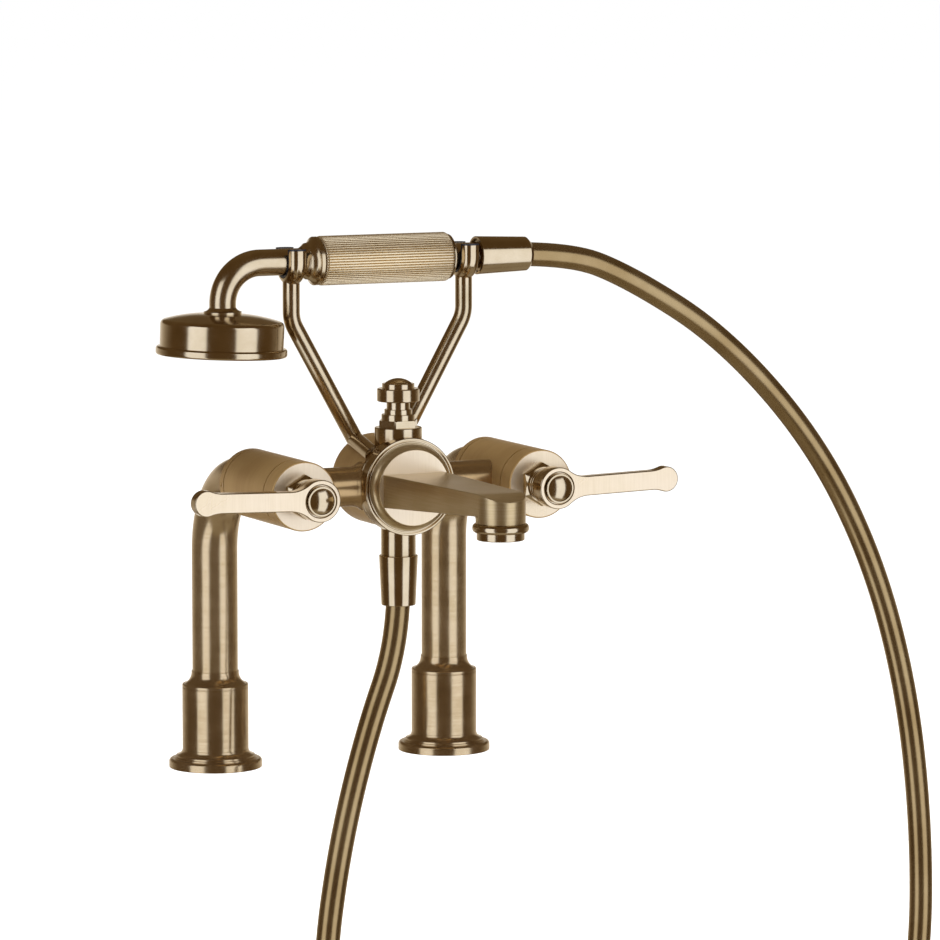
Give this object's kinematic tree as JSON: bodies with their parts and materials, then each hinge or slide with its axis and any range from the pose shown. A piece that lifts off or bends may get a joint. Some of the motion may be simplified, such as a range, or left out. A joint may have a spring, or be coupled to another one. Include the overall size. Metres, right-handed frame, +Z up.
{
  "type": "deck-mounted bath shower mixer",
  "caption": "Deck-mounted bath mixer with lever valves, flat spout, pull-up diverter, cradle and hand shower on a hose.",
  "frame": {"origin": "on the deck plane, midway between the axes of the two inlets", "axes": "+Z up along the legs, +X to the right seen from the front, the spout points to -Y"},
  "size_m": [0.523, 0.2828, 0.6789],
  "materials": {
    "brass_satin": "satin antiqued",
    "brass_brushed": "brushed",
    "brass_polished": "polished antiqued",
    "brass_plain": "machined",
    "ceramic": "lapped",
    "rubber": "matt",
    "liner": "matt",
    "aerator_plastic": "matt",
    "hose": "smooth metallic skin"
  },
  "bodies": {
    "mixer": {"left_leg_socket": "brass_satin", "right_leg_socket": "brass_satin", "left_shroud_collar": "brass_satin", "right_shroud_collar": "brass_satin", "left_deck_flange": "brass_satin", "right_deck_flange": "brass_satin", "left_leg_tube": "brass_satin", "right_leg_tube": "brass_satin", "left_union_ring": "brass_satin", "right_union_ring": "brass_satin", "left_valve_body": "brass_satin", "right_valve_body": "brass_satin", "left_cross_pipe": "brass_satin", "right_cross_pipe": "brass_satin", "mixing_drum": "brass_satin", "drum_front_ring": "brass_satin", "aerator_housing": "brass_satin", "spout": "brass_satin", "left_valve_face_ring": "brass_brushed", "right_valve_face_ring": "brass_brushed", "spout_boss": "brass_brushed", "left_gland_nut": "brass_polished", "right_gland_nut": "brass_polished", "diverter_base": "brass_polished", "diverter_bonnet": "brass_polished", "hose_outlet": "brass_polished", "lower_hose_nut": "brass_polished", "left_cradle_arm": "brass_polished", "right_cradle_arm": "brass_polished", "left_cradle_fork": "brass_polished", "right_cradle_fork": "brass_polished", "left_inlet_union": "brass_plain", "right_inlet_union": "brass_plain", "left_cartridge": "brass_plain", "right_cartridge": "brass_plain", "fixed_discs": "ceramic", "inlet_washers": "rubber", "lower_hose_washer": "rubber", "fork_liners": "liner", "aerator_insert": "aerator_plastic", "shower_hose": "hose"},
    "left_lever_body": {"left_lever": "brass_brushed", "left_lever_cap": "brass_polished", "left_spindle": "brass_plain", "left_moving_disc": "ceramic"},
    "right_lever_body": {"right_lever": "brass_brushed", "right_lever_cap": "brass_polished", "right_spindle": "brass_plain", "right_moving_disc": "ceramic"},
    "diverter": {"diverter_knob": "brass_polished", "diverter_spindle": "brass_plain", "diverter_piston": "brass_plain"},
    "handset": {"handset_neck": "brass_satin", "handset_grip": "brass_satin", "left_grip_ferrule": "brass_satin", "handset_tail": "brass_satin", "handset_hose_nut": "brass_polished", "rose_body": "brass_satin", "rose_plate": "brass_polished", "rose_nozzle_mat": "rubber"}
  },
  "joints": [
    {"name": "left_lever_turn", "type": "hinge", "parent": "mixer", "child": "left_lever_body", "pos_m": [-0.075, -0.15, 0.1765], "axis": [0, 1, 0], "range_deg": [-90, 0]},
    {"name": "right_lever_turn", "type": "hinge", "parent": "mixer", "child": "right_lever_body", "pos_m": [0.075, -0.15, 0.1765], "axis": [0, 1, 0], "range_deg": [0, 90]},
    {"name": "diverter_pull", "type": "slide", "parent": "mixer", "child": "diverter", "axis": [0, 0, 1], "range_m": [0, 0.008]},
    {"name": "handset_lift", "type": "slide", "parent": "mixer", "child": "handset", "axis": [0, 0, 1], "range_m": [0, 0.04], "deforming": ["shower_hose"]}
  ]
}
